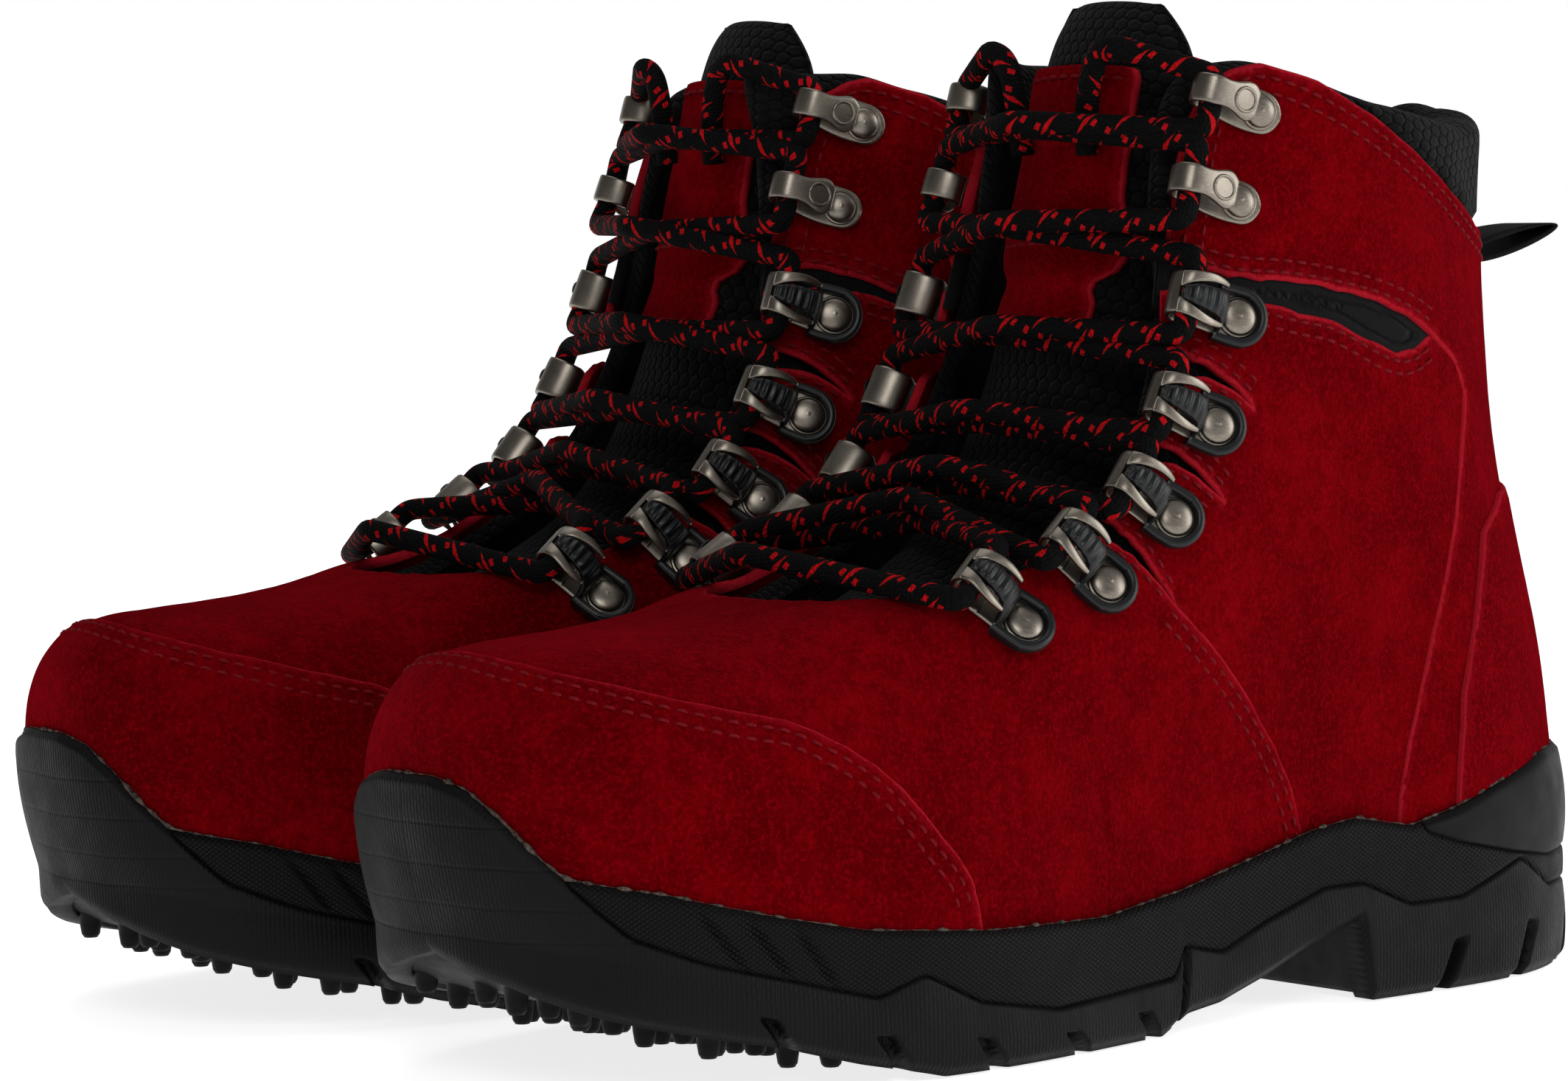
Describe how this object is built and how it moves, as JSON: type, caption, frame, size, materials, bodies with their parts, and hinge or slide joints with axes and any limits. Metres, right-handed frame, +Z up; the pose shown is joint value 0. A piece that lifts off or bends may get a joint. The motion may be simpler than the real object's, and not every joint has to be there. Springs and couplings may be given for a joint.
{
  "type": "hiking boots",
  "caption": "Pair of mid-height laced hiking boots with suede panels, a rubber toe bumper and cupped sole, speed hooks, a padded tongue and collar, and heel pull loops.",
  "frame": {"origin": "on the ground, at the middle of the pair's footprint", "axes": "+Z up, toes towards -Y, the left boot on the +X side"},
  "size_m": [0.226, 0.3015, 0.201],
  "materials": {
    "red_suede": "napped suede with sewn seams",
    "black_rubber": "matte moulded rubber with fine ribs",
    "black_mesh": "padded honeycomb mesh",
    "gunmetal": "satin gunmetal plating",
    "flecked_lace": "round braid with red flecks",
    "insole_board": "pressed fibre board",
    "footbed_foam": "foam with a cloth top",
    "black_webbing": "flat woven webbing"
  },
  "bodies": {
    "left_boot": {"left_outsole": "black_rubber", "left_midsole": "black_rubber", "left_heel_cradle": "black_rubber", "left_insole_board": "insole_board", "left_toe_cap": "red_suede", "left_vamp": "red_suede", "left_quarter_outer": "red_suede", "left_quarter_inner": "red_suede", "left_collar_band": "red_suede", "left_heel_patch": "red_suede", "left_lining": "black_mesh", "left_lace": "flecked_lace", "left_hook_outer_1": "gunmetal", "left_hook_outer_2": "gunmetal", "left_hook_outer_3": "gunmetal", "left_hook_outer_4": "gunmetal", "left_hook_outer_5": "gunmetal", "left_hook_outer_6": "gunmetal", "left_hook_outer_7": "gunmetal", "left_hook_inner_1": "gunmetal", "left_hook_inner_2": "gunmetal", "left_hook_inner_3": "gunmetal", "left_hook_inner_4": "gunmetal", "left_hook_inner_5": "gunmetal", "left_hook_inner_6": "gunmetal", "left_hook_inner_7": "gunmetal"},
    "left_tongue_body": {"left_tongue": "black_mesh", "left_tongue_shield": "red_suede"},
    "left_footbed_body": {"left_footbed": "footbed_foam"},
    "left_pull_loop_body": {"left_pull_loop": "black_webbing"},
    "right_boot": {"right_outsole": "black_rubber", "right_midsole": "black_rubber", "right_heel_cradle": "black_rubber", "right_insole_board": "insole_board", "right_toe_cap": "red_suede", "right_vamp": "red_suede", "right_quarter_outer": "red_suede", "right_quarter_inner": "red_suede", "right_collar_band": "red_suede", "right_heel_patch": "red_suede", "right_lining": "black_mesh", "right_lace": "flecked_lace", "right_hook_outer_1": "gunmetal", "right_hook_outer_2": "gunmetal", "right_hook_outer_3": "gunmetal", "right_hook_outer_4": "gunmetal", "right_hook_outer_5": "gunmetal", "right_hook_outer_6": "gunmetal", "right_hook_outer_7": "gunmetal", "right_hook_inner_1": "gunmetal", "right_hook_inner_2": "gunmetal", "right_hook_inner_3": "gunmetal", "right_hook_inner_4": "gunmetal", "right_hook_inner_5": "gunmetal", "right_hook_inner_6": "gunmetal", "right_hook_inner_7": "gunmetal"},
    "right_tongue_body": {"right_tongue": "black_mesh", "right_tongue_shield": "red_suede"},
    "right_footbed_body": {"right_footbed": "footbed_foam"},
    "right_pull_loop_body": {"right_pull_loop": "black_webbing"}
  },
  "joints": [
    {"name": "right_boot_lift", "type": "slide", "parent": "left_boot", "child": "right_boot", "axis": [0, 0, 1], "range_m": [0, 0.3]},
    {"name": "left_tongue_tilt", "type": "hinge", "parent": "left_boot", "child": "left_tongue_body", "pos_m": [0.06058, -0.05821, 0.077], "axis": [1, 0, 0], "range_deg": [-10, 0]},
    {"name": "left_footbed_lift", "type": "hinge", "parent": "left_boot", "child": "left_footbed_body", "pos_m": [0.05458, -0.12621, 0.031], "axis": [1, 0, 0], "range_deg": [0, 8]},
    {"name": "left_pull_loop_swing", "type": "hinge", "parent": "left_boot", "child": "left_pull_loop_body", "pos_m": [0.06058, 0.11969, 0.147], "axis": [1, 0, 0], "range_deg": [-45, 45]},
    {"name": "right_tongue_tilt", "type": "hinge", "parent": "right_boot", "child": "right_tongue_body", "pos_m": [-0.06054, -0.06176, 0.077], "axis": [0.9919, -0.127, 0], "range_deg": [-10, 0]},
    {"name": "right_footbed_lift", "type": "hinge", "parent": "right_boot", "child": "right_footbed_body", "pos_m": [-0.06323, -0.12997, 0.031], "axis": [0.9919, -0.127, 0], "range_deg": [0, 8]},
    {"name": "right_pull_loop_swing", "type": "hinge", "parent": "right_boot", "child": "right_pull_loop_body", "pos_m": [-0.03793, 0.1147, 0.147], "axis": [0.9919, -0.127, 0], "range_deg": [-45, 45]}
  ]
}
